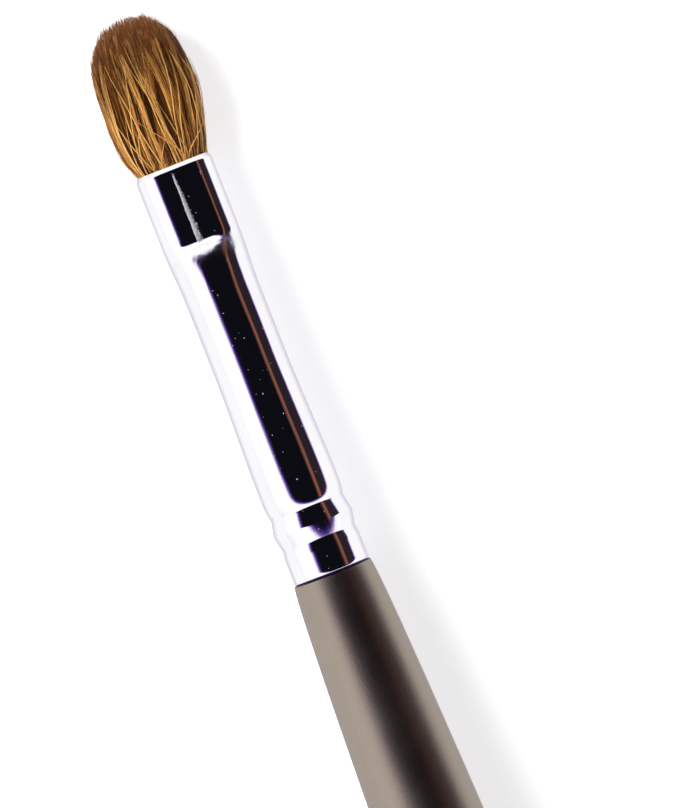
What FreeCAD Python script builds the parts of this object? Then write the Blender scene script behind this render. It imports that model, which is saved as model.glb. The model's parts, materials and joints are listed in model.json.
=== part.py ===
import FreeCAD, Part
import math
import os
import random

from FreeCAD import Vector

# Lip brush: a natural-hair tuft glued into a plated tube that is crimped on a turned handle.
# Sizes are in millimetres. The brush is drawn along X with the ferrule's mouth at x = 0,
# the hair towards -X and the handle towards +X, and at the end it is laid down as it rests.

# Ferrule: a drawn tube, pressed flat at its mouth and crimped twice near its rear end
FERRULE_LENGTH = 29.1
FERRULE_WALL = 0.25
MOUTH_WIDTH = 5.37
MOUTH_THICKNESS = 3.6
FLAT_LENGTH = 5.2
RAMP_LENGTH = 2.4
WAIST_DIAMETER = 5.07
WAIST_START = 9.5
WAIST_END = 14.2
FLARE_DIAMETER = 5.43
FLARE_END = 22.8
FLARE_BEND = 0.4
GROOVE_DIAMETER = 5.12
GROOVE_SHOULDER = 0.6
FRONT_GROOVE = 24.5
REAR_GROOVE = 26.75
BEAD_DIAMETER = 5.56
CRIMP_CROWN = 0.03
REAR_BAND_DIAMETER = 5.3
LIP_CHAMFER = 0.1
LIP_INNER_CHAMFER = 0.06
REAR_CHAMFER = 0.06

# Hair tuft: tapered locks on the block of glued roots inside the ferrule
HAIR_LENGTH = 10.5
BELLY_DISTANCE = 5.4
BELLY_WIDTH = 6.9
BELLY_THICKNESS = 5.0
BELLY_LEAN = 0.3
TIP_LEAN = 0.5
HAIR_CLEARANCE = 0.02
HAIR_SINK = 0.1
ROOT_END = 11.0
ROOT_GLUE_SPACE = 0.3
LOCK_RINGS = ((0.92, 30), (0.72, 23), (0.51, 16), (0.3, 9), (0.1, 3))
LOCK_HALF_DEPTH = 0.08
LOCK_TAPER = ((0.0, 0.92), (0.2, 0.92), (0.42, 0.87), (0.64, 0.75), (0.84, 0.5), (1.0, 0.12))
LOCK_SWAY = 0.25
SHORTEST_LOCK = 0.9
CROWN_PULL = 0.25
MOUTH_SQUARENESS = 0.35
BELLY_SQUARENESS = 0.5
LOCK_SPREAD = 0.11
LOCK_SEED = 3
REST_SPOT = 0.134

# Thread whipped round the roots, and the glue that holds them in the ferrule
THREAD_DIAMETER = 0.3
THREAD_START = 9.8
THREAD_TURNS = 2
THREAD_BITE = 0.06
ROOT_GLUE_END = 13.0

# Handle: one turned piece whose tenon is crimped in the ferrule
HANDLE_LENGTH = 97.0
TENON_START = 13.6
TENON_CHAMFER = 0.4
TENON_CLEARANCE = 0.02
SHOULDER_GAP = 0.03
SHOULDER_DIAMETER = 5.44
SHOULDER_CHAMFER = 0.06
SWELL_DIAMETER = 6.34
SWELL_REACH = 1.5
LAND_DIAMETER = 8.2
LAND_START = 33.0
LAND_LENGTH = 6.0
LAND_BLEND = 1.0
TAIL_DIAMETER = 2.8
TAIL_BLEND = 6.0

RAMP_STATIONS = 6
FLARE_PIECES = 3
SWELL_PIECES = 10
TAIL_PIECES = 14
JOIN_TOLERANCE = 1e-4
REST_STEPS = 30
REST_FACETS = 0.005


def ease(share):
    """Rises from 0 to 1 with level ends."""
    t = min(1.0, max(0.0, share))
    return t * t * (3.0 - 2.0 * t)


def mix(start, end, share):
    return start + (end - start) * share


def tube_half_sizes(x, inset):
    """Half width and half thickness of the tube at a station, inset from its outside."""
    side = ease((x - FLAT_LENGTH) / (WAIST_START - FLAT_LENGTH))
    ramp = min(1.0, max(0.0, (x - FLAT_LENGTH) / RAMP_LENGTH))
    face = ease(1.0 - (1.0 - ramp) ** 2)
    half_width = mix(MOUTH_WIDTH, WAIST_DIAMETER, side) / 2
    half_thickness = mix(MOUTH_THICKNESS, WAIST_DIAMETER, face) / 2
    return half_width - inset, half_thickness - inset


def pressed_wire(x, inset):
    """Section of the pressed tube: two flats joined by half rounds, or a circle at the waist."""
    half_width, half_thickness = tube_half_sizes(x, inset)
    half_flat = half_width - half_thickness
    top = Vector(x, 0, half_thickness)
    side = Vector(x, half_width, 0)
    if half_flat > JOIN_TOLERANCE:
        corner = Vector(x, half_flat, half_thickness)
        flat = Part.LineSegment(mirrored_y(corner), corner)
        flat_below = Part.LineSegment(mirrored_z(corner), mirrored_z(mirrored_y(corner)))
    else:
        turn = HAIR_CLEARANCE / half_thickness
        corner = Vector(x, half_thickness * math.sin(turn), half_thickness * math.cos(turn))
        flat = Part.Arc(mirrored_y(corner), top, corner)
        flat_below = Part.Arc(mirrored_z(corner), mirrored_z(top), mirrored_z(mirrored_y(corner)))
    right = Part.Arc(corner, side, mirrored_z(corner))
    left = Part.Arc(mirrored_z(mirrored_y(corner)), mirrored_y(side), mirrored_y(corner))
    return Part.Wire([piece.toShape() for piece in (flat, right, flat_below, left)])


def mirrored_y(point):
    return Vector(point.x, -point.y, point.z)


def mirrored_z(point):
    return Vector(point.x, point.y, -point.z)


def ramp_loft(inset):
    """Solid of the stretch that goes from the flats to the round waist."""
    last = RAMP_STATIONS - 1
    stations = [mix(FLAT_LENGTH, WAIST_START, k / last) for k in range(RAMP_STATIONS)]
    return Part.makeLoft([pressed_wire(x, inset) for x in stations], True, True)


def line(start, end):
    return Part.LineSegment(Vector(start[0], 0, start[1]), Vector(end[0], 0, end[1])).toShape()


def bezier(pieces, *poles):
    """Curve through its first and last pole, cut into pieces so that its facets follow it."""
    curve = Part.BezierCurve()
    curve.setPoles([Vector(x, 0, z) for x, z in poles])
    return [curve.toShape(k / pieces, (k + 1) / pieces) for k in range(pieces)]


def arc(start, middle, end):
    return Part.Arc(*[Vector(x, 0, z) for x, z in (start, middle, end)]).toShape()


def turned(edges):
    """Solid turned about the X axis from a profile whose first and last points lie on the axis."""
    start = edges[0].Vertexes[0].Point
    end = edges[-1].Vertexes[-1].Point
    closing = line((end.x, 0), (start.x, 0))
    face = Part.Face(Part.Wire(edges + [closing]))
    return face.revolve(Vector(0, 0, 0), Vector(1, 0, 0), 360)


def round_tube_profile(inset, x_from, x_to):
    """Outline of the tube from its waist to its rear end, or of the plainer surfaces inside it."""
    waist = WAIST_DIAMETER / 2 - inset
    flare = FLARE_DIAMETER / 2 - inset
    groove = GROOVE_DIAMETER / 2 - inset
    bead = BEAD_DIAMETER / 2 - inset
    band = REAR_BAND_DIAMETER / 2 - inset
    bead_place = (FRONT_GROOVE + REAR_GROOVE) / 2
    front_shoulder = FRONT_GROOVE - GROOVE_SHOULDER
    rear_shoulder = REAR_GROOVE + GROOVE_SHOULDER
    start = [line((x_from, waist), (WAIST_END, waist))]
    end = [line((rear_shoulder, band), (x_to, band))]
    if inset > 0:
        corners = [(WAIST_END, waist), (FLARE_END, flare), (front_shoulder, flare), (FRONT_GROOVE, groove),
                   (bead_place, bead), (REAR_GROOVE, groove), (rear_shoulder, band)]
        return start + [line(a, b) for a, b in zip(corners, corners[1:])] + end
    bend = FLARE_BEND * (FLARE_END - WAIST_END)
    flare_poles = [(WAIST_END, waist), (WAIST_END + bend, waist)]
    flare_poles += [(FLARE_END - bend, flare), (FLARE_END, flare)]
    crimps = [(front_shoulder, flare), (FRONT_GROOVE, groove), (bead_place, bead),
              (REAR_GROOVE, groove), (rear_shoulder, band)]
    return (
        start
        + bezier(FLARE_PIECES, *flare_poles)
        + [line((FLARE_END, flare), (front_shoulder, flare))]
        + [crowned_slope(a, b) for a, b in zip(crimps, crimps[1:])]
        + end
    )


def crowned_slope(start, end):
    """Side of a crimp: an arc that stands slightly proud of the straight slope."""
    middle = ((start[0] + end[0]) / 2, (start[1] + end[1]) / 2 + CRIMP_CROWN)
    return arc(start, middle, end)


def tube_body(inset):
    """Solid that fills the tube's outside surface, or one inset from it, over its whole length."""
    flats = Part.Face(pressed_wire(0.0, inset)).extrude(Vector(FLAT_LENGTH, 0, 0))
    profile = round_tube_profile(inset, WAIST_START, FERRULE_LENGTH)
    front = line((WAIST_START, 0), (WAIST_START, WAIST_DIAMETER / 2 - inset))
    rear = line((FERRULE_LENGTH, REAR_BAND_DIAMETER / 2 - inset), (FERRULE_LENGTH, 0))
    round_part = turned([front] + profile + [rear])
    return flats.fuse((ramp_loft(inset), round_part), JOIN_TOLERANCE)


def rim_edges(shape, x, farther_than, nearer_than):
    """Edges in the plane of a station whose reach across the thickness lies between two sizes."""
    found = []
    for edge in shape.Edges:
        box = edge.BoundBox
        reach = max(box.ZMax, -box.ZMin)
        if abs(box.XMin - x) < 1e-3 and abs(box.XMax - x) < 1e-3 and farther_than < reach < nearer_than:
            found.append(edge)
    return found


def make_ferrule(outside, bore):
    tube = outside.cut(bore).Solids[0]
    lip = MOUTH_THICKNESS / 2
    middle = lip - FERRULE_WALL / 2
    tube = tube.makeChamfer(LIP_INNER_CHAMFER, rim_edges(tube, 0.0, 0.0, middle))
    tube = tube.makeChamfer(LIP_CHAMFER, rim_edges(tube, 0.0, middle, 2 * lip))
    band = REAR_BAND_DIAMETER / 2
    rear = rim_edges(tube, FERRULE_LENGTH, band - FERRULE_WALL / 2, 2 * band)
    return tube.makeChamfer(REAR_CHAMFER, rear)


def slab(x_from, x_to):
    """Block between two stations, wider than the tube."""
    reach = 2 * MOUTH_WIDTH
    return Part.makeBox(x_to - x_from, reach, reach, Vector(x_from, -reach / 2, -reach / 2))


def tied_radius():
    return WAIST_DIAMETER / 2 - FERRULE_WALL - ROOT_GLUE_SPACE


def make_thread():
    """Turns of thread laid side by side round the roots, pulled a little into them."""
    floor = tied_radius() - THREAD_BITE
    side = floor + THREAD_DIAMETER / 2
    points = [(THREAD_START, floor), (THREAD_START, side)]
    for k in range(THREAD_TURNS):
        start = THREAD_START + THREAD_DIAMETER * k
        points.append((start + THREAD_DIAMETER / 2, floor + THREAD_DIAMETER))
        points.append((start + THREAD_DIAMETER, side))
    points += [(THREAD_START + THREAD_DIAMETER * THREAD_TURNS, floor), (THREAD_START, floor)]
    outline = Part.makePolygon([Vector(x, 0, z) for x, z in points])
    return Part.Face(outline).revolve(Vector(0, 0, 0), Vector(1, 0, 0), 360)


def make_root_block(thread):
    """Roots of the hair: they fill the pressed tube and are tied thinner behind it."""
    inset = FERRULE_WALL + HAIR_CLEARANCE
    flats = Part.Face(pressed_wire(HAIR_SINK, inset)).extrude(Vector(FLAT_LENGTH - HAIR_SINK, 0, 0))
    tied = turned([
        line((WAIST_START, 0), (WAIST_START, WAIST_DIAMETER / 2 - inset)),
        line((WAIST_START, WAIST_DIAMETER / 2 - inset), (THREAD_START, tied_radius())),
        line((THREAD_START, tied_radius()), (ROOT_END, tied_radius())),
        line((ROOT_END, tied_radius()), (ROOT_END, 0)),
    ])
    return flats.fuse((ramp_loft(inset), tied), JOIN_TOLERANCE).cut(thread).Solids[0]


def tuft_section(distance):
    """Half width, half thickness, squareness and lean of the hair at a distance from the mouth."""
    inset = FERRULE_WALL + HAIR_CLEARANCE
    swell = math.sin(math.pi / 2 * min(1.0, max(0.0, distance / BELLY_DISTANCE)))
    crown = 1.0 - CROWN_PULL * crown_share(distance)
    half_width = mix(MOUTH_WIDTH / 2 - inset, BELLY_WIDTH / 2, swell) * crown
    half_thickness = mix(MOUTH_THICKNESS / 2 - inset, BELLY_THICKNESS / 2, swell) * crown
    squareness = mix(MOUTH_SQUARENESS, BELLY_SQUARENESS, swell)
    lean = BELLY_LEAN * swell + (TIP_LEAN - BELLY_LEAN) * crown_share(distance)
    return half_width, half_thickness, squareness, lean


def crown_share(distance):
    """0 up to the belly of the tuft, and 1 at its tip."""
    return max(0.0, (distance - BELLY_DISTANCE) / (HAIR_LENGTH - BELLY_DISTANCE)) ** 2


def tuft_point(distance, turn, share):
    """Point at an angle and a share of the way out, pressed a little flat where the hair rests."""
    half_width, half_thickness, squareness, lean = tuft_section(distance)
    turn += LOCK_SPREAD * math.sin(2 * turn)
    flat = math.cos(turn) * math.hypot(1, squareness) / math.hypot(math.cos(turn), squareness)
    y = share * ((half_width - half_thickness) * flat + half_thickness * math.cos(turn))
    z = share * half_thickness * max(REST_SPOT - 1.0, math.sin(turn))
    return Vector(-distance, y + lean, z)


def lock_reach(share):
    """Distance at which a lock in this ring meets the domed crown of the tuft."""
    near = BELLY_DISTANCE
    far = HAIR_LENGTH
    for _ in range(30):
        middle = (near + far) / 2
        crown = crown_share(middle)
        if share * (1.0 - CROWN_PULL * crown) < math.sqrt(1.0 - crown):
            near = middle
        else:
            far = middle
    return near


def make_lock(share, turn, half_turn, reach, sway):
    """One tapered lock of hair with a diamond section, closed at both ends."""
    wires = []
    for along, fill in LOCK_TAPER:
        distance = mix(-HAIR_SINK, reach, along)
        drift = half_turn * sway * along * (1 - fill)
        points = []
        for across, out in ((-1, 0), (0, 1), (1, 0), (0, -1)):
            angle = turn + half_turn * across * fill + drift
            points.append(tuft_point(distance, angle, share + LOCK_HALF_DEPTH * out * fill))
        wires.append(Part.makePolygon(points + points[:1]))
    return Part.makeLoft(wires, True, True)


def make_locks():
    chance = random.Random(LOCK_SEED)
    locks = []
    for share, count in LOCK_RINGS:
        reach = lock_reach(share)
        offset = 0.5 if count % 4 == 0 else 0.0
        for k in range(count):
            turn = 2 * math.pi * (k + offset) / count
            length = reach * chance.uniform(SHORTEST_LOCK, 1.0)
            sway = chance.uniform(-LOCK_SWAY, LOCK_SWAY)
            locks.append(make_lock(share, turn, math.pi / count, length, sway))
    return locks


def make_tuft(root_block):
    """Joins the locks to the front of the root block, where each takes the place of a hole."""
    front = min(root_block.Faces, key=lambda face: face.CenterOfMass.x)
    skin = [face for face in root_block.Faces if not face.isSame(front)]
    feet = []
    for lock in make_locks():
        foot = max(lock.Faces, key=lambda face: face.CenterOfMass.x)
        feet.append(foot.OuterWire)
        skin += [face for face in lock.Faces if not face.isSame(foot)]
    floor = Part.makeFace([front.OuterWire] + feet, "Part::FaceMakerBullseye")
    shell = Part.makeShell(skin + floor.Faces)
    shell.sewShape()
    return Part.makeSolid(shell)


def make_root_glue(bore, root_block, thread):
    """Glue run in from behind: a collar round the tied roots and a plug over their ends."""
    return bore.common(slab(WAIST_START, ROOT_GLUE_END)).cut(root_block).cut(thread).Solids[0]


def make_handle():
    """Tenon, shoulder, swelling grip with a straight land, and a tail with a rounded butt."""
    shoulder = FERRULE_LENGTH + SHOULDER_GAP
    inset = FERRULE_WALL + TENON_CLEARANCE
    nose = WAIST_DIAMETER / 2 - inset
    chamfer_end = TENON_START + TENON_CHAMFER
    land = LAND_DIAMETER / 2
    land_start = FERRULE_LENGTH + LAND_START
    land_end = land_start + LAND_LENGTH
    tail = TAIL_DIAMETER / 2
    butt = FERRULE_LENGTH + HANDLE_LENGTH
    tail_end = butt - tail
    diagonal = tail * math.sqrt(0.5)
    edge = SHOULDER_DIAMETER / 2
    profile = [
        line((TENON_START, 0), (TENON_START, nose - TENON_CHAMFER)),
        line((TENON_START, nose - TENON_CHAMFER), (chamfer_end, nose)),
    ]
    profile += round_tube_profile(inset, chamfer_end, shoulder)
    profile += [
        line((shoulder, REAR_BAND_DIAMETER / 2 - inset), (shoulder, edge - SHOULDER_CHAMFER)),
        line((shoulder, edge - SHOULDER_CHAMFER), (shoulder + SHOULDER_CHAMFER, edge)),
    ]
    swell_poles = [(shoulder + SHOULDER_CHAMFER, edge), (shoulder + SWELL_REACH, SWELL_DIAMETER / 2)]
    profile += bezier(SWELL_PIECES, *swell_poles, (land_start - LAND_BLEND, land), (land_start, land))
    profile.append(line((land_start, land), (land_end, land)))
    profile += bezier(TAIL_PIECES, (land_end, land), (land_end + TAIL_BLEND, land), (tail_end, tail))
    profile.append(arc((tail_end, tail), (tail_end + diagonal, diagonal), (butt, 0)))
    return turned(profile)


def height_at_rest(points, tilt):
    """Lowest height of the points once the brush is tipped, hair down, by an angle in radians."""
    rise = math.sin(tilt)
    upright = math.cos(tilt)
    return min(point.z * upright + point.x * rise for point in points)


def rest_tilt(handle, tuft):
    """Angle at which the handle's swell and the belly of the hair touch one flat surface."""
    handle_points = handle.tessellate(REST_FACETS)[0]
    tuft_points = tuft.tessellate(REST_FACETS)[0]
    low = 0.0
    high = math.atan(LAND_DIAMETER / 2 / LAND_START)
    for _ in range(REST_STEPS):
        tilt = (low + high) / 2
        if height_at_rest(tuft_points, tilt) > height_at_rest(handle_points, tilt):
            low = tilt
        else:
            high = tilt
    return math.degrees(tilt)


def lay_down(pieces, tilt):
    """Tips the pieces hair down and sets them on z = 0 over the middle of their outline."""
    for piece in pieces.values():
        piece.rotate(Vector(0, 0, 0), Vector(0, 1, 0), -tilt)
    box = Part.makeCompound(list(pieces.values())).optimalBoundingBox(False)
    supports = pieces["handle"].tessellate(REST_FACETS)[0] + pieces["hair_tuft"].tessellate(REST_FACETS)[0]
    lowest = min(point.z for point in supports)
    for piece in pieces.values():
        piece.translate(Vector(-box.Center.x, -box.Center.y, -lowest))


def main():
    bore = tube_body(FERRULE_WALL)
    thread = make_thread()
    root_block = make_root_block(thread)
    pieces = {
        "ferrule": make_ferrule(tube_body(0.0), bore),
        "hair_tuft": make_tuft(root_block),
        "knot_thread": thread,
        "root_glue": make_root_glue(bore, root_block, thread),
        "handle": make_handle(),
    }
    lay_down(pieces, rest_tilt(pieces["handle"], pieces["hair_tuft"]))
    os.makedirs("parts", exist_ok=True)
    for name, piece in pieces.items():
        piece.exportStep(f"parts/{name}.step")
        print(name, piece.isValid(), len(piece.Solids), round(piece.Volume, 3), len(piece.Faces))


main()
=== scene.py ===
import json
import math

import bpy
import numpy as np
from mathutils import Matrix, Vector


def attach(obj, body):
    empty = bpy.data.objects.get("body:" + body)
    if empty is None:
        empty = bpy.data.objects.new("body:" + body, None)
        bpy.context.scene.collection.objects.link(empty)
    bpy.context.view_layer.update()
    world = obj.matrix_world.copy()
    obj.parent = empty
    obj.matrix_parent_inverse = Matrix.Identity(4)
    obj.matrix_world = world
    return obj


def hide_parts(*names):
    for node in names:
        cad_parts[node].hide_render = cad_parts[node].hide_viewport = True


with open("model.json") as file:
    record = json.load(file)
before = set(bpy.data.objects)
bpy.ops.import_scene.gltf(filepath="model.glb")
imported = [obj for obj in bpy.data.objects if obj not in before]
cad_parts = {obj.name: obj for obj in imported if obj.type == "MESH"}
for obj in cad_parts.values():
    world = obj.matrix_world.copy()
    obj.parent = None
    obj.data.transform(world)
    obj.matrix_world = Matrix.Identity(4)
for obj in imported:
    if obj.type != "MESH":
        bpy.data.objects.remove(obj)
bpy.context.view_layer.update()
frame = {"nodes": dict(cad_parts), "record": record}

# Lip brush, lying on a white surface. Lengths below are in millimetres along the brush, measured
# from the ferrule's mouth: the hair lies at negative stations and the handle at positive ones.
MM = 0.001
FERRULE_LENGTH = 29.1
FERRULE_WALL = 0.25
MOUTH_WIDTH = 5.37
MOUTH_THICKNESS = 3.6
MOUTH_SPAN = math.radians(20)
MOUTH_SPAN_EASE = 0.15
FLAT_LENGTH = 5.2
RAMP_LENGTH = 2.4
WAIST_DIAMETER = 5.07
WAIST_START = 9.5
WAIST_END = 14.2
FLARE_DIAMETER = 5.43
FLARE_END = 22.8
GROOVE_DIAMETER = 5.12
GROOVE_SHOULDER = 0.6
FRONT_GROOVE = 24.5
REAR_GROOVE = 26.75
BEAD_DIAMETER = 5.56
FRONT_BEND = 4
CRIMP_CROWN = 0.01
REAR_BAND_DIAMETER = 5.3
LIP_LENGTH = 0.34
LIP_DEPTH = 0.2
LIP_ROUND = 0.03
REAR_ROUND = 0.06
TUBE_SIDES = 96
HANDLE_SIDES = 120
BORE_CLEARANCE = 0.02
HANDLE_LENGTH = 97.0
TENON_START = 13.6
TENON_CHAMFER = 0.4
SHOULDER_GAP = 0.03
SHOULDER_DIAMETER = 5.44
SHOULDER_ROUND = (0.1, 0.12)
SWELL_DIAMETER = 6.34
SWELL_REACH = 1.5
LAND_DIAMETER = 8.2
LAND_START = 33.0
LAND_LENGTH = 6.0
LAND_BLEND = 1.0
LAND_MIDDLE = FERRULE_LENGTH + LAND_START + LAND_LENGTH / 2
TAIL_DIAMETER = 2.8
TAIL_BLEND = 6.0
BUTT_END = (0.998, 0.06)

# The tuft's outer form: almost flush at the mouth, a belly, and a dome at the end
HAIR_LENGTH = 10.5
BELLY_DISTANCE = 5.4
BELLY_WIDTH = 6.9
BELLY_THICKNESS = 5.0
BELLY_LEAN = 0.3
TIP_LEAN = 0.5
LEAN_POWER = 4
CROWN_PULL = 0.25
MOUTH_SQUARENESS = 0.35
BELLY_SQUARENESS = 0.5
LOCK_SPREAD = 0.11
REST_SPOT = 0.134
MOUTH_INSET = 0.27
MOUTH_BULGE = 0.14
BULGE_DISTANCE = 0.5
DOME_HALVINGS = 30

# The dome of painted shade inside the hair, as shares of the tuft's length and of the way out
CORE_LENGTH = 0.86
CORE_OUT = 0.72
CORE_NOSE = 0.02
CORE_ROUNDNESS = 1.5
CORE_ROWS = 24
CORE_SIDES = 64

# Every hair: a three-sided tube that waves a little, lifts off the mouth and thins towards its tip
HAIR_RADIUS = 0.034
HAIR_SIDES = 3
HAIR_STATIONS = 9
HAIR_ROOT = 0.8
HAIR_SEED = 5
HAIRS_PER_PIECE = 2300
WAVE_TURNS = (0.5, 1.4)
WAVE_SIZE = 0.014
LIFT_DISTANCE = 1.2
MOUTH_EDGE = 0.1
MOUTH_SHARE = 0.97
TAPER_START = 0.4
TAPER_DEPTH = 0.75
FLOOR_CLEARANCE = 0.02

# Colours from the darkest hair to the lightest, and the tips
HAIR_DARK = (0.028, 0.0065, 0.0015)
HAIR_BROWN = (0.42, 0.15, 0.026)
HAIR_GOLD = (1.0, 0.57, 0.17)
HAIR_TIP = (0.14, 0.042, 0.016)
TIP_START = (0.62, 0.85)
TIP_FADE = 0.3
TIP_STRENGTH = (0.5, 1.0)

# Hairs inside the tuft. Depths here are squares of the share of the way out, tones are a mean and a spread
FILL_HAIRS = 2200
FILL_DEPTH = (0.01, 0.6)
FILL_LENGTH = (0.93, 1.0)
# Their darker tone is partly painted shade inside the tuft
FILL_TONE_AND_SHADE = (0.3, 0.13)
FILL_THICKNESS = (0.8, 1.2)
FILL_REDDENING = 0.9

# Layers of locks over them. Each row: hairs, locks, then the range of depths, the golden share, the
# ranges of length, pull and thickness, and how red the tips are
HAIR_LAYERS = (
    (5000, 170, (0.72, 0.95), 0.25, (0.95, 1.0), (0.2, 0.6), (0.7, 1.2), 0.8),
    (1800, 130, (0.945, 0.97), 0.22, (0.75, 1.0), (0.5, 0.85), (0.8, 1.3), 0.5),
    (950, 130, (0.965, 0.985), 0.48, (0.6, 1.0), (0.85, 0.96), (1.0, 1.8), 0.3))
# Golden locks are partly painted light and dark ones partly painted shade between locks, besides the hair's
# own tones; the outer layer holds the most golden locks
GOLDEN_LIT_TONES = (0.55, 1.0)
DARK_SHADED_TONES = (0.0, 0.25)
TONE_SHIFT = -0.03
TONE_SPREAD = 0.2
LOCK_SWAY = 0.13
LOCK_LOOSENESS = 0.05
LOCK_HOLLOW = 0.2
# Dark locks, partly painted shade, sit this much further in
DARK_DROP = 0.02
ROOT_GATHER = 0.55
GATHER_PACE = 1.6
HAIR_SWING = 0.03
LENGTH_SPREAD = 0.08
LENGTH_LIMITS = (0.3, 0.99)
LOCK_LIFT = 0.015

# Fuzz, whose tips stand off the tuft
FUZZ_HAIRS = 2600
FUZZ_DEPTH = (0.2, 0.8)
FUZZ_SWING = 0.1
FUZZ_LENGTH = (0.96, 1.025)
FUZZ_RISE = (0.0, 0.1)
FUZZ_TONE = (0.35, 0.2)
FUZZ_THICKNESS = (0.4, 0.6)
FUZZ_REDDENING = 0.6

# Strays that cross the others. The seen ones stand out: angles round the tuft at their start and
# end, distances there, and share of the way out
STRAY_HAIRS = 26
STRAY_SWING = (0.15, 0.6)
STRAY_END = (3.5, 8.5)
STRAY_OUT = 0.99
SEEN_STRAYS = ((70, 111, 0.3, 3.6, 1.02), (61, 3, 0.5, 2.5, 1.03), (100, 84, 0.2, 2.2, 1.0))
STRAY_LIFT = 0.03
STRAY_TONE = (0.8, 1.0)
STRAY_THICKNESS = (1.2, 1.5)
STRAY_REDDENING = 0.2

# Patterns in the materials, in cycles to the metre: the same all ways, or along, across and out
DRAW_LINE_SCALE = (120, 5200, 5200)
PLATING_WAVE_SCALE = (260, 420, 420)
PLATING_GRAIN_SCALE = 9000
SPECK_SCALE = 5200
SPECK_STOPS = (0.785, 0.82)
DENT_SCALE = 1700
DRIFT_SCALE = 750
LACQUER_CLOUD_SCALE = 300
WOOD_GRAIN_SCALE = (90, 1500, 1500)
FLAKE_SCALE = 14000
PEEL_SCALE = 8000
HAIR_SCALE = (1500, 9000, 9000)
STRAND_SCALE = (250, 6000, 6000)
GLUE_CLOUD_SCALE = 900
TWIST_SCALE = (9000, 2500, 2500)

# Colours in the materials, each pair from low to high in its pattern
PLATING_COLOURS = ((0.94, 0.93, 0.96), (0.97, 0.965, 0.975))
LACQUER_COLOURS = ((0.36, 0.3, 0.245), (0.43, 0.365, 0.305))
# Painted shade in the gap between the ferrule and the handle's shoulder
JOINT_SHADE_COLOUR = (0.02, 0.004, 0.06)
SHEEN_COLOUR = (0.88, 0.84, 1.0)
# Painted shade: the dark of the dome inside the tuft
PAINTED_SHADE_COLOURS = ((0.012, 0.004, 0.001), (0.07, 0.025, 0.008))
GLUE_COLOURS = ((0.3, 0.18, 0.06), (0.45, 0.3, 0.12))
THREAD_COLOURS = ((0.5, 0.46, 0.38), (0.68, 0.64, 0.55))

# Marks in the plating, in millimetres: a rubbed streak along the flat and the press mark at its end
STREAK_SIDE = -0.17
STREAK_WIDTH = 0.06
STREAK_SPREAD = 0.05
STREAK_DRIFT = 0.2
STREAK_GRAIN = 2.6
STREAK_START = 0.35
STREAK_FADE = 0.4
STREAK_OVERRUN = 0.3
PRESS_MIDDLE = 6.3
PRESS_REACH = 0.9
PRESS_LEVEL = 0.75
PRESS_GRAIN = 0.5
# Width of the painted shade line on the handle's shoulder, where the gap to the ferrule falls in shade
JOINT_SHADE_LINE = 0.04

# The studio, on the plane that make_world tells of: the dark screen and the brown seam along it
SCREEN_MIDDLE = (-0.125, 0.311)
SCREEN_REACH = (0.375, 0.655)
SCREEN_COLOUR = (0.0035, 0.0035, 0.006)
SCREEN_EDGE = (0.02, 0.014, 0.017)
SEAM = 0.482
SEAM_COLOUR = (0.24, 0.09, 0.058)
SCREEN_STOPS = ((0.1, SCREEN_COLOUR), (SEAM - 0.07, SCREEN_COLOUR), (SEAM, SEAM_COLOUR),
                (SEAM + 0.025, SEAM_COLOUR), (SEAM + 0.05, SCREEN_EDGE), (0.8, SCREEN_EDGE))
# Past the screen's rim the room turns white, and greyer towards the horizon, in tenths of the way
RIM_START = 0.84
RIM_SHARPNESS = 4.0
ROOM_SCALE = 0.1
ROOM_STOPS = ((0.0, (0, 0, 0)), (0.05, (0.035, 0.012, 0.14)), (0.085, (0.25, 0.17, 0.45)),
              (0.11, (0.75, 0.68, 0.82)), (0.14, (0.93, 0.88, 0.91)), (0.25, (1, 1, 1)),
              (0.9, (0.7, 0.68, 0.73)))
ROOM_LIGHT = 0.35
ROOM_BRIGHT_SIDE = 1.25
ROOM_SLOPE = 0.12
ROOM_EXCESS = 0.25
WHITE = (1, 1, 1, 1)

# The floor, a square with this half side in metres, its own light and its look in a mirror, with painted
# contact shade
FLOOR_REACH = 1.2
FLOOR_DROP = 0.06
FLOOR_COLOUR = (0.85, 0.85, 0.86, 1)
FLOOR_GLOW = 0.52
# Painted contact shade, seen only in the mirror: its reach, samples and colours
CONTACT_REACH = 6.0
CONTACT_SAMPLES = 8
CONTACT_SHADE_STOPS = ((0.0, (0.2, 0.17, 0.27)), (0.75, (0.74, 0.7, 0.8)), (1.0, (1, 1, 1)))

# Lamps: place, side and watts
LAMPS = (("key", (-320, -420, 380), 420, 5.6), ("fill", (-380, 240, 260), 300, 1.2))
LAMP_AIM = (-40, 0, 0)

# The photograph's view, in its own pixels, and the camera's own measures
PHOTO_HEIGHT = 808
PHOTO_CENTRE = (341.0, 404.0)
PIXELS_PER_MM = 15.0
MOUTH_PIXEL = (172.0, 165.5)
AXIS_LEAN = math.radians(21.5)
CAMERA_DISTANCE = 600.0
SENSOR_HEIGHT = 24.0
CLIP_METRES = (0.01, 10.0)

land_mount = frame["record"]["mounts"][0]
AXIS = Vector(land_mount["axis"]).normalized()
SIDE = Vector((0, 1, 0))
OUT = AXIS.cross(SIDE)
MOUTH = Vector(land_mount["pos_m"]) - AXIS * LAND_MIDDLE * MM


def place(points):
    """Points given as stations, widths and heights on the brush's axis, in the row frame."""
    basis = np.array([AXIS, SIDE, OUT])
    return np.array(MOUTH) + np.asarray(points) @ basis * MM


def ease(share):
    """Smooth step from 0 to 1."""
    t = np.clip(share, 0.0, 1.0)
    return t * t * (3.0 - 2.0 * t)


def mix(start, end, share):
    return start + (end - start) * share


def new_piece(name, vertices, faces, material, smooth=True):
    mesh = bpy.data.meshes.new(name)
    mesh.from_pydata([tuple(v) for v in vertices], [], [tuple(f) for f in faces])
    mesh.materials.append(material)
    mesh.polygons.foreach_set("use_smooth", [smooth] * len(mesh.polygons))
    mesh.update()
    piece = bpy.data.objects.new(name, mesh)
    bpy.context.scene.collection.objects.link(piece)
    return piece


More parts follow.
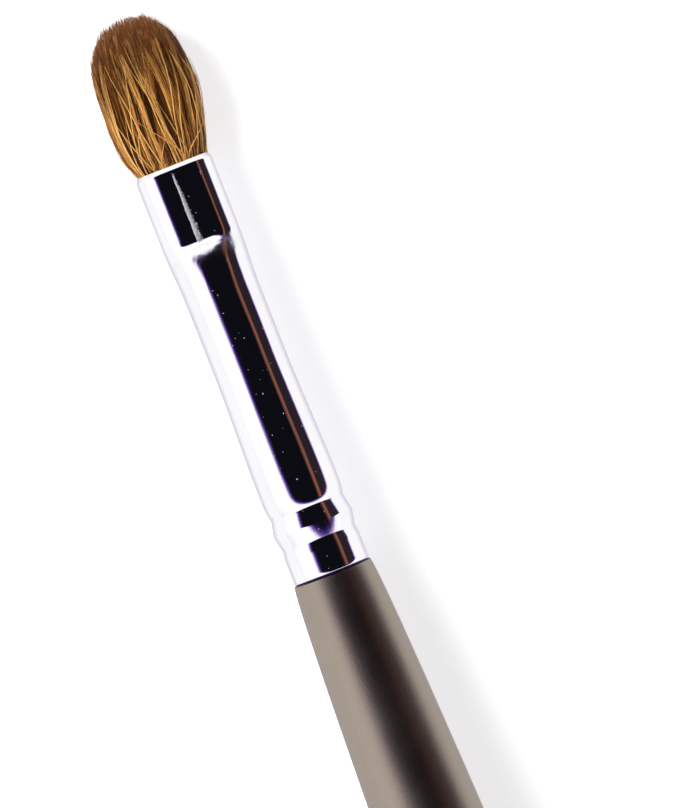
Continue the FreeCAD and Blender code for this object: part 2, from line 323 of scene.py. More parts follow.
class Nodes:
    """Shorthand for a material's or the world's node tree."""

    def __init__(self, owner):
        owner.use_nodes = True
        self.owner = owner
        self.tree = owner.node_tree
        self.tree.nodes.clear()

    def add(self, kind, inputs=None, **settings):
        node = self.tree.nodes.new(kind)
        for key, value in settings.items():
            setattr(node, key, value)
        for key, value in (inputs or {}).items():
            if isinstance(value, bpy.types.NodeSocket):
                self.tree.links.new(value, node.inputs[key])
            else:
                node.inputs[key].default_value = value
        return node

    def math(self, operation, first, second=0.0, clamp=False):
        inputs = {0: first, 1: second}
        return self.add("ShaderNodeMath", inputs, operation=operation, use_clamp=clamp).outputs[0]

    def noise(self, vector, scale, detail=2.0, roughness=0.5):
        """Noise at a scale, or stretched by three scales along, across and out."""
        if isinstance(scale, tuple):
            vector = self.add("ShaderNodeMapping", {"Vector": vector, "Scale": scale}).outputs[0]
            scale = 1.0
        inputs = {"Vector": vector, "Scale": scale, "Detail": detail, "Roughness": roughness}
        return self.add("ShaderNodeTexNoise", inputs).outputs["Fac"]

    def ramp(self, factor, *stops):
        node = self.add("ShaderNodeValToRGB", {"Fac": factor})
        elements = node.color_ramp.elements
        while len(elements) < len(stops):
            elements.new(0.5)
        for element, (position, colour) in zip(elements, stops):
            element.position = position
            element.color = (*colour, 1.0)
        return node.outputs["Color"]

    def rescale(self, value, source, target):
        """Carries a value from one range to another, and no further."""
        inputs = {"Value": value, "From Min": source[0], "From Max": source[1]}
        inputs.update({"To Min": target[0], "To Max": target[1]})
        return self.add("ShaderNodeMapRange", inputs).outputs[0]

    def blend(self, share, first, second):
        """Colour between two, by the second one's share."""
        inputs = {0: share, 6: first, 7: second}
        return self.add("ShaderNodeMix", inputs, data_type="RGBA").outputs[2]

    def bump(self, height, strength, distance, normal=None):
        inputs = {"Height": height, "Strength": strength, "Distance": distance}
        if normal is not None:
            inputs["Normal"] = normal
        return self.add("ShaderNodeBump", inputs).outputs[0]

    def brush_coordinates(self):
        """Position on the object in its own frame, in metres."""
        return self.add("ShaderNodeTexCoord").outputs["Object"]

    def station(self, along):
        """Millimetres from the ferrule's mouth."""
        return self.math("DIVIDE", self.math("SUBTRACT", along, MOUTH.x), MM)

    def surface(self, shader):
        for_world = shader.node.bl_idname == "ShaderNodeBackground"
        kind = "ShaderNodeOutputWorld" if for_world else "ShaderNodeOutputMaterial"
        self.add(kind, {"Surface": shader})

    def principled(self, inputs):
        """Ends the tree in the usual shader and returns the material."""
        self.surface(self.add("ShaderNodeBsdfPrincipled", inputs).outputs[0])
        return self.owner


def grey(value):
    return (value, value, value)


def make_plating():
    """Mirror plating with faint draw lines, specks, a rubbed streak on the flat and a dull press mark."""
    n = Nodes(bpy.data.materials.new("plated_metal"))
    where = n.brush_coordinates()
    split = n.add("ShaderNodeSeparateXYZ", {0: where}).outputs
    station = n.station(split[0])
    side = n.math("DIVIDE", split[1], MM)
    above = n.math("GREATER_THAN", split[2], MOUTH.z)
    draw_lines = n.noise(where, DRAW_LINE_SCALE, 3.0)
    waves = n.noise(where, PLATING_WAVE_SCALE, 1.0)
    grain = n.noise(where, PLATING_GRAIN_SCALE, 3.0, 0.65)
    specks = n.noise(where, SPECK_SCALE, 1.0)
    speck_mask = n.ramp(specks, (0.0, grey(0)), (SPECK_STOPS[0], grey(0)), (SPECK_STOPS[1], grey(1)))
    dents = n.noise(where, DENT_SCALE)
    drift = n.math("MULTIPLY", n.math("SUBTRACT", n.noise(where, DRIFT_SCALE), 0.5), STREAK_DRIFT)

    offset = n.math("SUBTRACT", n.math("ADD", side, drift), STREAK_SIDE)
    width = n.math("ADD", n.math("MULTIPLY", station, STREAK_SPREAD), STREAK_WIDTH)
    right = n.math("DIVIDE", offset, width)
    left = n.math("DIVIDE", offset, -STREAK_WIDTH)
    level = n.math("SUBTRACT", 1.0, n.math("MAXIMUM", left, right))
    level = n.math("ADD", level, n.math("MULTIPLY", n.math("SUBTRACT", grain, 0.5), STREAK_GRAIN))
    from_start = n.math("SUBTRACT", station, STREAK_START)
    to_end = n.math("SUBTRACT", FLAT_LENGTH + STREAK_OVERRUN, station)
    ends = n.math("MULTIPLY", n.math("DIVIDE", from_start, STREAK_FADE, clamp=True),
                  n.math("DIVIDE", to_end, STREAK_FADE, clamp=True), clamp=True)
    streak = n.math("MULTIPLY", n.math("MULTIPLY", level, ends, clamp=True), above)

    press = n.math("ABSOLUTE", n.math("DIVIDE", n.math("SUBTRACT", station, PRESS_MIDDLE), PRESS_REACH))
    press_level = n.math("ADD", PRESS_LEVEL, n.math("MULTIPLY", grain, PRESS_GRAIN))
    press = n.math("SUBTRACT", press_level, press, clamp=True)
    press = n.math("MULTIPLY", press, above)

    roughness = n.rescale(draw_lines, (0.35, 0.7), (0.04, 0.11))
    for mark, dullness in ((speck_mask, 0.3), (press, 0.16), (streak, 0.65)):
        roughness = n.math("ADD", roughness, n.math("MULTIPLY", mark, dullness))
    low, high = PLATING_COLOURS
    tint = n.ramp(waves, (0.3, low), (0.7, high))
    normal = n.bump(waves, 0.35, 0.00004)
    normal = n.bump(draw_lines, 0.12, 0.000004, normal)
    normal = n.bump(speck_mask, 0.8, 0.00003, normal)
    normal = n.bump(streak, 0.6, 0.00004, normal)
    normal = n.bump(dents, n.math("ADD", n.math("MULTIPLY", press, 0.5), 0.03), 0.00006, normal)
    return n.principled({"Base Color": tint, "Metallic": 1.0, "Roughness": roughness, "Normal": normal})


def make_lacquer():
    """Satin taupe lacquer with fine metal flakes over wood, orange peel, and a painted shade line at the
    ferrule.
    """
    n = Nodes(bpy.data.materials.new("lacquered_wood"))
    where = n.brush_coordinates()
    split = n.add("ShaderNodeSeparateXYZ", {0: where}).outputs
    # Painted shade: a dark band on the shoulder next to the ferrule, where the gap falls in shade
    joint_shade = n.math("LESS_THAN", n.station(split[0]), FERRULE_LENGTH + SHOULDER_GAP + JOINT_SHADE_LINE)
    clouds = n.noise(where, LACQUER_CLOUD_SCALE, 3.0)
    grain = n.noise(where, WOOD_GRAIN_SCALE, 3.0)
    flakes = n.noise(where, FLAKE_SCALE, 1.0, 0.6)
    peel = n.noise(where, PEEL_SCALE, 1.0)
    mottle = n.math("ADD", n.math("MULTIPLY", clouds, 0.4), n.math("MULTIPLY", flakes, 0.6))
    low, high = LACQUER_COLOURS
    colour = n.blend(joint_shade, n.ramp(mottle, (0.3, low), (0.7, high)), (*JOINT_SHADE_COLOUR, 1))
    around = n.add("ShaderNodeTangent", direction_type="RADIAL", axis="X").outputs[0]
    normal = n.bump(grain, 0.08, 0.00002)
    normal = n.bump(peel, 0.4, 0.000025, normal)
    return n.principled({
        "Base Color": colour, "Roughness": n.rescale(clouds, (0.3, 0.7), (0.3, 0.34)), "Normal": normal,
        "Metallic": 1.0, "Anisotropic": 0.7, "Tangent": around,
        "Sheen Weight": 0.3, "Sheen Roughness": 0.25, "Sheen Tint": (*SHEEN_COLOUR, 1)})


def make_hair_material():
    """Animal hair: each hair keeps its own colour, which its scales make lighter and darker."""
    n = Nodes(bpy.data.materials.new("hair"))
    own_colour = n.add("ShaderNodeVertexColor", layer_name="hair_colour").outputs["Color"]
    scales = n.noise(n.brush_coordinates(), HAIR_SCALE)
    shade = n.rescale(scales, (0.3, 0.7), (0.78, 1.15))
    inputs = {0: own_colour, "Scale": shade}
    colour = n.add("ShaderNodeVectorMath", inputs, operation="SCALE").outputs[0]
    return n.principled({"Base Color": colour, "Roughness": 0.45, "Specular IOR Level": 0.3})


def make_painted_shade_material():
    """Painted shade: the dark inside of the tuft, which shows only between the hairs."""
    n = Nodes(bpy.data.materials.new("hair_painted_shade"))
    strands = n.noise(n.brush_coordinates(), STRAND_SCALE, 3.0)
    low, high = PAINTED_SHADE_COLOURS
    colour = n.ramp(strands, (0.35, low), (0.7, high))
    return n.principled({"Base Color": colour, "Roughness": 0.8, "Normal": n.bump(strands, 0.6, 0.00008)})


def make_glue_material():
    n = Nodes(bpy.data.materials.new("glue"))
    clouds = n.noise(n.brush_coordinates(), GLUE_CLOUD_SCALE, 3.0)
    low, high = GLUE_COLOURS
    return n.principled({"Base Color": n.ramp(clouds, (0.3, low), (0.7, high)), "Roughness": 0.18})


def make_thread_material():
    n = Nodes(bpy.data.materials.new("thread"))
    twist = n.noise(n.brush_coordinates(), TWIST_SCALE)
    low, high = THREAD_COLOURS
    colour = n.ramp(twist, (0.3, low), (0.7, high))
    return n.principled({"Base Color": colour, "Roughness": 0.85, "Normal": n.bump(twist, 0.6, 0.00003)})


def tube_radius(x, inset):
    """Radius of the round part of the tube, from its waist to its rear end."""
    waist = WAIST_DIAMETER / 2
    flare = FLARE_DIAMETER / 2
    groove = GROOVE_DIAMETER / 2
    band = REAR_BAND_DIAMETER / 2
    bead_place = (FRONT_GROOVE + REAR_GROOVE) / 2
    corners = [(FRONT_GROOVE, groove), (bead_place, BEAD_DIAMETER / 2), (REAR_GROOVE, groove),
               (REAR_GROOVE + GROOVE_SHOULDER, band)]
    if x <= WAIST_END:
        radius = waist
    elif x <= FLARE_END:
        radius = mix(waist, flare, ease((x - WAIST_END) / (FLARE_END - WAIST_END)))
    elif x <= FRONT_GROOVE:
        radius = mix(flare, groove, ((x - FLARE_END) / (FRONT_GROOVE - FLARE_END)) ** FRONT_BEND)
    elif x >= corners[-1][0]:
        radius = band
    else:
        for (a, low), (b, high) in zip(corners, corners[1:]):
            if a <= x <= b:
                share = (x - a) / (b - a)
                radius = mix(low, high, share) + 4 * CRIMP_CROWN * share * (1 - share)
    return radius - inset


def tube_ring(x, inset):
    """Points round the tube: flats joined by half rounds near the mouth, and a circle further on."""
    side = float(ease((x - FLAT_LENGTH) / (WAIST_START - FLAT_LENGTH)))
    ramp = min(1.0, max(0.0, (x - FLAT_LENGTH) / RAMP_LENGTH))
    face = float(ease(1.0 - (1.0 - ramp) ** 2))
    if x >= WAIST_START:
        half_width = half_thickness = tube_radius(x, inset)
    else:
        half_width = mix(MOUTH_WIDTH, WAIST_DIAMETER, side) / 2 - inset
        half_thickness = mix(MOUTH_THICKNESS, WAIST_DIAMETER, face) / 2 - inset
    half_flat = max(0.0, half_width - half_thickness)
    span = MOUTH_SPAN * (1 - half_flat / (half_flat + MOUTH_SPAN_EASE))
    steps = TUBE_SIDES // 4
    half = []
    for k in range(steps):
        angle = mix(-math.pi / 2 + span, math.pi / 2 - span, k / steps)
        half.append((half_flat + half_thickness * math.cos(angle), half_thickness * math.sin(angle)))
    for k in range(steps):
        s = 1 - 2 * k / steps
        y = s * half_flat + half_thickness * math.sin(s * span)
        half.append((y, half_thickness * math.cos(s * span)))
    return [(x, y, z) for y, z in half] + [(x, -y, -z) for y, z in half]


def swept(name, rings, material, closed):
    """A skin over rings of as many points each, joined end to end, or closed by a cap at each end.

    It faces outward where the rings run towards the handle's end."""
    count = len(rings[0])
    faces = []
    for i in range(len(rings) if closed else len(rings) - 1):
        j = (i + 1) % len(rings)
        for k in range(count):
            m = (k + 1) % count
            faces.append((i * count + k, i * count + m, j * count + m, j * count + k))
    if not closed:
        faces.append(tuple(reversed(range(count))))
        faces.append(tuple(range((len(rings) - 1) * count, len(rings) * count)))
    return new_piece(name, place([point for ring in rings for point in ring]), faces, material)


def make_ferrule(material):
    """The plated tube: the bore towards its mouth, the lip rolled in there, and the outside back to the rear.

    Each row of the outline is a station and a depth below the tube's outside."""
    rear_band = REAR_GROOVE + GROOVE_SHOULDER
    outline = [(x, FERRULE_WALL) for x in np.linspace(FERRULE_LENGTH, 0.05, 60)]
    outline += [(0.0, LIP_DEPTH + LIP_ROUND), (0.3 * LIP_ROUND, LIP_DEPTH + 0.3 * LIP_ROUND)]
    for x in np.linspace(LIP_ROUND, LIP_LENGTH - LIP_ROUND, 6):
        outline.append((x, LIP_DEPTH * (1 - x / LIP_LENGTH)))
    outline += [(LIP_LENGTH + 0.2 * LIP_ROUND, 0.1 * LIP_ROUND), (LIP_LENGTH + 2 * LIP_ROUND, 0.0)]
    outside = np.concatenate([
        np.linspace(LIP_LENGTH + 0.25, FLAT_LENGTH - 0.3, 12),
        np.linspace(FLAT_LENGTH, WAIST_START, 40),
        np.linspace(WAIST_START + 0.4, WAIST_END, 8),
        np.linspace(WAIST_END + 0.4, FLARE_END, 20),
        np.linspace(FLARE_END, rear_band, 90)[1:],
        np.linspace(rear_band + 0.1, FERRULE_LENGTH - REAR_ROUND, 8)])
    outline += [(x, 0.0) for x in outside]
    outline += [(FERRULE_LENGTH - 0.3 * REAR_ROUND, 0.3 * REAR_ROUND), (FERRULE_LENGTH, REAR_ROUND)]
    return swept("ferrule_tube", [tube_ring(x, inset) for x, inset in outline], material, True)


def curve(count, *poles):
    """Stations and radii on a Bezier curve through its first and last pole."""
    points = []
    for t in np.linspace(0, 1, count):
        level = [np.array(pole) for pole in poles]
        while len(level) > 1:
            level = [mix(a, b, t) for a, b in zip(level, level[1:])]
        points.append(tuple(level[0]))
    return points


def make_handle(material):
    """Tenon in the ferrule's bore, shoulder, swelling grip with a straight land, and a thin round tail."""
    shoulder = FERRULE_LENGTH + SHOULDER_GAP
    inset = FERRULE_WALL + BORE_CLEARANCE
    edge = SHOULDER_DIAMETER / 2
    land = LAND_DIAMETER / 2
    land_start = FERRULE_LENGTH + LAND_START
    land_end = land_start + LAND_LENGTH
    tail = TAIL_DIAMETER / 2
    tail_end = FERRULE_LENGTH + HANDLE_LENGTH - tail
    nose = WAIST_DIAMETER / 2 - inset
    outline = [(TENON_START, nose - TENON_CHAMFER), (TENON_START + TENON_CHAMFER, nose)]
    outline += [(x, tube_radius(x, inset)) for x in np.linspace(TENON_START + 0.5, FERRULE_LENGTH - 0.1, 60)]
    outline.append((shoulder, REAR_BAND_DIAMETER / 2 - inset))
    length, depth = SHOULDER_ROUND
    for turn in np.linspace(0, math.pi / 2, 6):
        outline.append((shoulder + length * (1 - math.cos(turn)), edge - depth * (1 - math.sin(turn))))
    outline += curve(70, (shoulder + length, edge), (shoulder + SWELL_REACH, SWELL_DIAMETER / 2),
                     (land_start - LAND_BLEND, land), (land_start, land))[1:]
    outline += curve(80, (land_end, land), (land_end + TAIL_BLEND, land), (tail_end, tail))
    for turn in np.linspace(0, math.pi / 2, 9)[1:-1]:
        outline.append((tail_end + tail * math.sin(turn), tail * math.cos(turn)))
    outline.append((tail_end + tail * BUTT_END[0], tail * BUTT_END[1]))
    turns = np.linspace(0, 2 * math.pi, HANDLE_SIDES, endpoint=False)
    rings = []
    for x, radius in outline:
        rings.append([(x, radius * math.cos(turn), radius * math.sin(turn)) for turn in turns])
    return swept("handle_skin", rings, material, False)


def crown_share(distance):
    """How far a distance from the mouth is into the tuft's crown, 0 at the belly and 1 at the end."""
    return np.maximum(0.0, (distance - BELLY_DISTANCE) / (HAIR_LENGTH - BELLY_DISTANCE)) ** 2


def tuft_points(distance, turn, share):
    """Places in the tuft at distances from the mouth, angles, and shares of the way out."""
    swell = np.sin(math.pi / 2 * np.clip(distance / BELLY_DISTANCE, 0.0, 1.0))
    crown = 1.0 - CROWN_PULL * crown_share(distance)
    half_width = mix(MOUTH_WIDTH / 2 - MOUTH_INSET, BELLY_WIDTH / 2, swell) * crown
    half_thickness = mix(MOUTH_THICKNESS / 2 - MOUTH_INSET, BELLY_THICKNESS / 2, swell) * crown
    squareness = mix(MOUTH_SQUARENESS, BELLY_SQUARENESS, swell)
    bulge = MOUTH_BULGE * ease(distance / BULGE_DISTANCE) * (1.0 - swell)
    half_width = half_width + bulge
    half_thickness = half_thickness + bulge
    lean = BELLY_LEAN * swell ** LEAN_POWER + (TIP_LEAN - BELLY_LEAN) * crown_share(distance)
    turn = turn + LOCK_SPREAD * np.sin(2 * turn)
    flat = np.cos(turn) * np.hypot(1, squareness) / np.hypot(np.cos(turn), squareness)
    y = share * ((half_width - half_thickness) * flat + half_thickness * np.cos(turn)) + lean
    z = share * half_thickness * np.maximum(REST_SPOT - 1.0, np.sin(turn))
    return np.stack([-distance, y, z], axis=-1)


def dome_reach(share):
    """Distance at which a hair at a share of the way out meets the tuft's domed end."""
    near = np.full_like(share, BELLY_DISTANCE)
    far = np.full_like(share, HAIR_LENGTH)
    for _ in range(DOME_HALVINGS):
        middle = (near + far) / 2
        crown = crown_share(middle)
        inside = share * (1.0 - CROWN_PULL * crown) < np.sqrt(np.maximum(0.0, 1.0 - crown))
        near = np.where(inside, middle, near)
        far = np.where(inside, far, middle)
    return near


def make_core(material):
    """A dome of painted shade a little inside the hair."""
    turns = np.linspace(0, 2 * math.pi, CORE_SIDES, endpoint=False)
    rings = []
    for distance in np.linspace(HAIR_LENGTH, 0, CORE_ROWS):
        crown = float(crown_share(distance))
        share = CORE_OUT * math.sqrt(max(CORE_NOSE ** 2, 1 - crown ** CORE_ROUNDNESS))
        rings.append(tuft_points(np.full(CORE_SIDES, CORE_LENGTH * distance), turns, share))
    return swept("hair_painted_shade", rings, material, False)


def hair_tubes(name, paths, radii, colours, material):
    """One mesh of three-sided tapered hairs. paths is hairs by stations by 3, in the row frame."""
    hairs, stations, _ = paths.shape
    along = np.gradient(paths, axis=1)
    along /= np.linalg.norm(along, axis=2, keepdims=True)
    across = np.cross(along, np.array(OUT))
    across /= np.linalg.norm(across, axis=2, keepdims=True)
    up = np.cross(across, along)
    corners = []
    for k in range(HAIR_SIDES):
        angle = 2 * math.pi * k / HAIR_SIDES + math.pi / 2
        corners.append(paths + radii[..., None] * (math.cos(angle) * across + math.sin(angle) * up))
    vertices = np.stack(corners, axis=2).reshape(-1, 3)
    side = np.arange(HAIR_SIDES)
    ring = np.arange(hairs * stations).reshape(hairs, stations, 1) * HAIR_SIDES
    first = ring[:, :-1] + side
    second = ring[:, :-1] + (side + 1) % HAIR_SIDES
    quads = np.stack([first, first + HAIR_SIDES, second + HAIR_SIDES, second], axis=-1).reshape(-1, 4)
    caps = np.concatenate([ring[:, 0] + side, ring[:, -1] + side[::-1]])
    piece = new_piece(name, vertices, quads.tolist() + caps.tolist(), material)
    layer = piece.data.color_attributes.new("hair_colour", "FLOAT_COLOR", "POINT")
    shades = np.repeat(colours.reshape(-1, 3), HAIR_SIDES, axis=0)
    layer.data.foreach_set("color", np.concatenate([shades, np.ones((len(shades), 1))], axis=1).ravel())
    return piece


def hair_colours(chance, count, t, tone, tip_reddening):
    """Colour along each hair: dark over brown to golden by its tone, with a reddish dark tip."""
    dark, brown, gold, tip = np.array([HAIR_DARK, HAIR_BROWN, HAIR_GOLD, HAIR_TIP])
    tone = np.clip(tone, 0.0, 1.0)[:, None, None]
    body = np.where(tone < 0.5, dark + (brown - dark) * tone * 2, brown + (gold - brown) * (tone * 2 - 1))
    tip_start = chance.uniform(*TIP_START, (count, 1, 1))
    strength = tip_reddening * chance.uniform(*TIP_STRENGTH, (count, 1, 1))
    tip_share = ease((t - tip_start) / TIP_FADE) * strength
    return body * (1 - tip_share) + tip * tip_share


def along_hair(chance, count, share, reach, turn, lift, tone, thickness, tip_reddening):
    """Paths, radii and colours of hairs from their shares, reaches and angles at each station."""
    t = np.linspace(0, 1, HAIR_STATIONS)[None, :]
    distance = -HAIR_ROOT + (reach[:, None] + HAIR_ROOT) * t
    wave_turns = t * chance.uniform(*WAVE_TURNS, (count, 1)) + chance.uniform(0, 1, (count, 1))
    wave = chance.normal(0, WAVE_SIZE, (count, 1)) * np.sin(2 * math.pi * wave_turns)
    out = share + lift * ease(distance / LIFT_DISTANCE)
    out = np.where(distance < MOUTH_EDGE, np.minimum(out, MOUTH_SHARE), out)
    paths = place(tuft_points(distance, turn + wave, out))
    paths[..., 2] = np.maximum(paths[..., 2], FLOOR_CLEARANCE * MM)
    taper = 1 - TAPER_DEPTH * ease((t - TAPER_START) / (1 - TAPER_START))
    radii = HAIR_RADIUS * MM * thickness[:, None] * taper
    return paths, radii, hair_colours(chance, count, t[..., None], tone, tip_reddening)


def fill_hairs(chance, count):
    """Hairs inside the tuft, which close its domed end; their darker colour is partly painted shade."""
    share = np.sqrt(chance.uniform(*FILL_DEPTH, count))
    turn = chance.uniform(0, 2 * math.pi, count)
    reach = dome_reach(share) * chance.uniform(*FILL_LENGTH, count)
    tone = chance.normal(*FILL_TONE_AND_SHADE, count)
    thickness = chance.uniform(*FILL_THICKNESS, count)
    return along_hair(chance, count, share[:, None], reach, turn[:, None], 0.0, tone,
                      thickness, FILL_REDDENING)


def nearest_lock(turn, lock_turn):
    """For each hair the lock whose middle is nearest round the tuft, and the turn to it."""
    gap = (lock_turn[None, :] - turn[:, None] + math.pi) % (2 * math.pi) - math.pi
    home = np.abs(gap).argmin(axis=1)
    return home, gap[np.arange(len(turn)), home]


def lock_hairs(chance, count, locks, out, golden, lengths, pulls, thickness, tip_reddening):
    """Hairs drawn together in locks of uneven depth and length, which end in points.

    A share of the locks is golden, partly painted light, and the others are dark, partly painted shade, and
    sit a little deeper."""
    t = np.linspace(0, 1, HAIR_STATIONS)[None, :]
    lock_turn = chance.uniform(0, 2 * math.pi, locks)
    lock_out = chance.uniform(*out, locks)
    is_golden = chance.uniform(0, 1, locks) < golden
    golden_tone = chance.uniform(*GOLDEN_LIT_TONES, locks)
    lock_tone = np.where(is_golden, golden_tone, chance.uniform(*DARK_SHADED_TONES, locks))
    lock_length = chance.uniform(*lengths, locks)
    lock_sway = chance.normal(0, LOCK_SWAY, locks)
    lock_pull = chance.uniform(*pulls, locks)
    turn = chance.uniform(0, 2 * math.pi, count)
    home, gap = nearest_lock(turn, lock_turn)
    share = lock_out[home] - LOCK_LOOSENESS * chance.uniform(0, 1, count)
    share = share - LOCK_HOLLOW * np.abs(gap) - DARK_DROP * (1 - is_golden[home])
    gather = lock_pull[home][:, None] * (ROOT_GATHER + (1 - ROOT_GATHER) * ease(t * GATHER_PACE))
    swing = lock_sway[home][:, None] * t ** 1.5 + chance.normal(0, HAIR_SWING, (count, 1)) * t ** 2
    length = lock_length[home] * (1 + chance.normal(0, LENGTH_SPREAD, count))
    reach = dome_reach(share) * np.clip(length, *LENGTH_LIMITS)
    tone = lock_tone[home] + chance.normal(TONE_SHIFT, TONE_SPREAD, count)
    drawn = turn[:, None] + gap[:, None] * gather + swing
    return along_hair(chance, count, share[:, None], reach, drawn, LOCK_LIFT, tone,
                      chance.uniform(*thickness, count), tip_reddening)


def fuzz_hairs(chance, count):
    """Thin hairs whose tips stand a little off the tuft."""
    t = np.linspace(0, 1, HAIR_STATIONS)[None, :]
    share = np.sqrt(chance.uniform(*FUZZ_DEPTH, count))
    turn = chance.uniform(0, 2 * math.pi, (count, 1)) + chance.normal(0, FUZZ_SWING, (count, 1)) * t ** 2
    reach = dome_reach(share) * chance.uniform(*FUZZ_LENGTH, count)
    out = share[:, None] + chance.uniform(*FUZZ_RISE, (count, 1)) * t ** 3
    tone = chance.normal(*FUZZ_TONE, count)
    thickness = chance.uniform(*FUZZ_THICKNESS, count)
    return along_hair(chance, count, out, reach, turn, 0.0, tone, thickness, FUZZ_REDDENING)


def crossing_hairs(chance, start_turn, end_turn, start, end, out):
    """Single hairs that left their lock and cross the others on the surface."""
    count = len(end)
    t = np.linspace(0, 1, HAIR_STATIONS)[None, :]
    distance = -HAIR_ROOT + (end + HAIR_ROOT)[:, None] * t
    crossed = np.clip((distance - start[:, None]) / (end - start)[:, None], 0, 1)
    turn = start_turn[:, None] + (end_turn - start_turn)[:, None] * crossed
    tone = chance.uniform(*STRAY_TONE, count)
    thickness = chance.uniform(*STRAY_THICKNESS, count)
    return along_hair(chance, count, out[:, None], end, turn, STRAY_LIFT, tone, thickness, STRAY_REDDENING)


def stray_hairs(chance, count):
    start = chance.uniform(0, 2 * math.pi, count)
    swing = chance.choice([-1.0, 1.0], count) * chance.uniform(*STRAY_SWING, count)
    end = chance.uniform(*STRAY_END, count)
    return crossing_hairs(chance, start, start + swing, np.zeros(count), end, np.full(count, STRAY_OUT))


def make_world():
    """White studio with one dark screen above and to the right, which the plating mirrors as a strip.

    A direction's place is taken on a plane that a ball of one unit would be seen against from above."""
    world = bpy.data.worlds.new("studio")
    bpy.context.scene.world = world
    n = Nodes(world)
    direction = n.add("ShaderNodeTexCoord").outputs["Generated"]
    split = n.add("ShaderNodeSeparateXYZ", {0: direction}).outputs
    depth = n.math("ADD", split[2], 1.0001)
    along = n.math("DIVIDE", split[0], depth)
    sideways = n.math("DIVIDE", split[1], depth)
    x = n.math("DIVIDE", n.math("SUBTRACT", along, SCREEN_MIDDLE[0]), SCREEN_REACH[0])
    y = n.math("DIVIDE", n.math("SUBTRACT", sideways, SCREEN_MIDDLE[1]), SCREEN_REACH[1])
    radius = n.math("SQRT", n.math("ADD", n.math("POWER", x, 2.0), n.math("POWER", y, 2.0)))
    screen = n.ramp(sideways, *SCREEN_STOPS)
    past_rim = n.math("DIVIDE", n.math("SUBTRACT", radius, RIM_START), 1.0 - RIM_START)
    room = n.ramp(n.math("MULTIPLY", past_rim, ROOM_SCALE), *ROOM_STOPS)
    inside = n.math("SUBTRACT", 1.0, n.math("MULTIPLY", past_rim, RIM_SHARPNESS, clamp=True))
    room = n.blend(inside, room, screen)
    rays = n.add("ShaderNodeLightPath").outputs
    mirrored = n.math("MAXIMUM", rays["Is Glossy Ray"], rays["Is Transmission Ray"])
    seen = n.math("MAXIMUM", rays["Is Camera Ray"], mirrored)
    colour = n.blend(rays["Is Camera Ray"], room, WHITE)
    strength = n.math("ADD", n.math("MULTIPLY", seen, 1.0 - ROOM_LIGHT), ROOM_LIGHT)
    bright_side = n.math("MULTIPLY", n.math("SUBTRACT", ROOM_BRIGHT_SIDE, sideways), ROOM_SLOPE)
    excess = n.math("MULTIPLY", n.math("MINIMUM", bright_side, ROOM_EXCESS), mirrored)
    strength = n.math("ADD", strength, excess)
    background = n.add("ShaderNodeBackground", {"Color": colour, "Strength": strength})
    n.surface(background.outputs[0])


def make_floor():
    """White surface. Mirrored in the plating it is white too, with the soft painted shade of its contact."""
    material = bpy.data.materials.new("white_surface")
    n = Nodes(material)
    rays = n.add("ShaderNodeLightPath").outputs
    contact = n.add("ShaderNodeAmbientOcclusion", {"Distance": CONTACT_REACH * MM}, samples=CONTACT_SAMPLES)
    # Painted shade: in the mirror the floor darkens where the brush occludes it
    mirrored = n.ramp(contact.outputs["AO"], *CONTACT_SHADE_STOPS)
    diffuse = n.add("ShaderNodeBsdfDiffuse", {"Color": FLOOR_COLOUR})
    glow_strength = n.math("MULTIPLY", rays["Is Camera Ray"], FLOOR_GLOW)
    glow = n.add("ShaderNodeEmission", {"Strength": glow_strength})
    lit = n.add("ShaderNodeAddShader", {0: diffuse.outputs[0], 1: glow.outputs[0]})
    plain = n.add("ShaderNodeEmission", {"Color": mirrored})
    both = n.add("ShaderNodeMixShader", {0: rays["Is Glossy Ray"], 1: lit.outputs[0], 2: plain.outputs[0]})
    n.surface(both.outputs[0])
    corners = [(-1, -1), (1, -1), (1, 1), (-1, 1)]
    vertices = [(x * FLOOR_REACH, y * FLOOR_REACH, 0) for x, y in corners]
    floor = new_piece("white_surface", vertices, [(0, 1, 2, 3)], material, smooth=False)
    floor.location.z = -FLOOR_DROP * MM


def make_lamp(name, place_mm, side_mm, watts):
    """A soft square lamp that faces the brush's hair, and isn't mirrored."""
    light = bpy.data.lights.new(name, "AREA")
    light.shape = "SQUARE"
    light.size = side_mm * MM
    light.energy = watts
    lamp = bpy.data.objects.new(name, light)
    bpy.context.scene.collection.objects.link(lamp)
    lamp.visible_glossy = False
    lamp.location = Vector(place_mm) * MM
    lamp.rotation_euler = (Vector(LAMP_AIM) * MM - lamp.location).to_track_quat("-Z", "Y").to_euler()


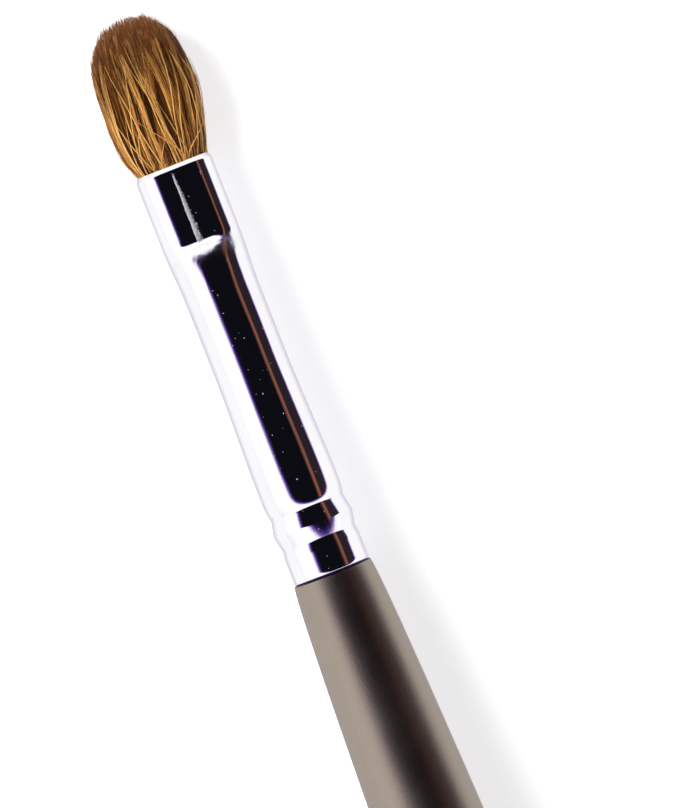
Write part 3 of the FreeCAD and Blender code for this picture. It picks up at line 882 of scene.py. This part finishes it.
def make_camera():
    """Looks straight at the flat side of the brush, from far away, framed as the photograph is."""
    right = AXIS * math.sin(AXIS_LEAN) + SIDE * math.cos(AXIS_LEAN)
    up = -AXIS * math.cos(AXIS_LEAN) + SIDE * math.sin(AXIS_LEAN)
    across = (PHOTO_CENTRE[0] - MOUTH_PIXEL[0]) / PIXELS_PER_MM
    down = (PHOTO_CENTRE[1] - MOUTH_PIXEL[1]) / PIXELS_PER_MM
    aim = MOUTH + right * across * MM - up * down * MM
    data = bpy.data.cameras.new("camera")
    data.sensor_fit = "VERTICAL"
    data.sensor_height = SENSOR_HEIGHT
    data.lens = SENSOR_HEIGHT * CAMERA_DISTANCE / (PHOTO_HEIGHT / PIXELS_PER_MM)
    data.clip_start, data.clip_end = CLIP_METRES
    camera = bpy.data.objects.new("camera", data)
    turn = Matrix((right, up, OUT)).transposed().to_4x4()
    camera.matrix_world = Matrix.Translation(aim + OUT * CAMERA_DISTANCE * MM) @ turn
    bpy.context.scene.collection.objects.link(camera)
    bpy.context.scene.camera = camera


def main():
    plating = make_plating()
    lacquer = make_lacquer()
    hair = make_hair_material()
    glue = make_glue_material()
    thread = make_thread_material()
    for node, material in (("root_glue", glue), ("knot_thread", thread)):
        slots = frame["nodes"][node].material_slots
        for slot in slots:
            slot.material = material

    ferrule = make_ferrule(plating)
    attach(ferrule, "root")
    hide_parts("ferrule")

    handle = make_handle(lacquer)
    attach(handle, "root")
    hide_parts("handle")

    core = make_core(make_painted_shade_material())
    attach(core, "root")
    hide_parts("hair_tuft")

    chance = np.random.default_rng(HAIR_SEED)
    seen = np.array(SEEN_STRAYS)
    sets = [fill_hairs(chance, FILL_HAIRS)]
    for layer in HAIR_LAYERS:
        sets.append(lock_hairs(chance, *layer))
    sets.append(fuzz_hairs(chance, FUZZ_HAIRS))
    sets.append(stray_hairs(chance, STRAY_HAIRS))
    sets.append(crossing_hairs(chance, *np.radians(seen[:, :2]).T, *seen[:, 2:].T))
    paths, radii, colours = (np.concatenate(kind) for kind in zip(*sets))
    for number, start in enumerate(range(0, len(paths), HAIRS_PER_PIECE)):
        part = slice(start, start + HAIRS_PER_PIECE)
        piece = hair_tubes(f"hair_{number + 1}", paths[part], radii[part], colours[part], hair)
        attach(piece, "root")
        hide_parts("hair_tuft")

    make_world()
    make_floor()
    for lamp in LAMPS:
        make_lamp(*lamp)
    make_camera()
    bpy.context.scene.view_settings.view_transform = "Standard"


main()
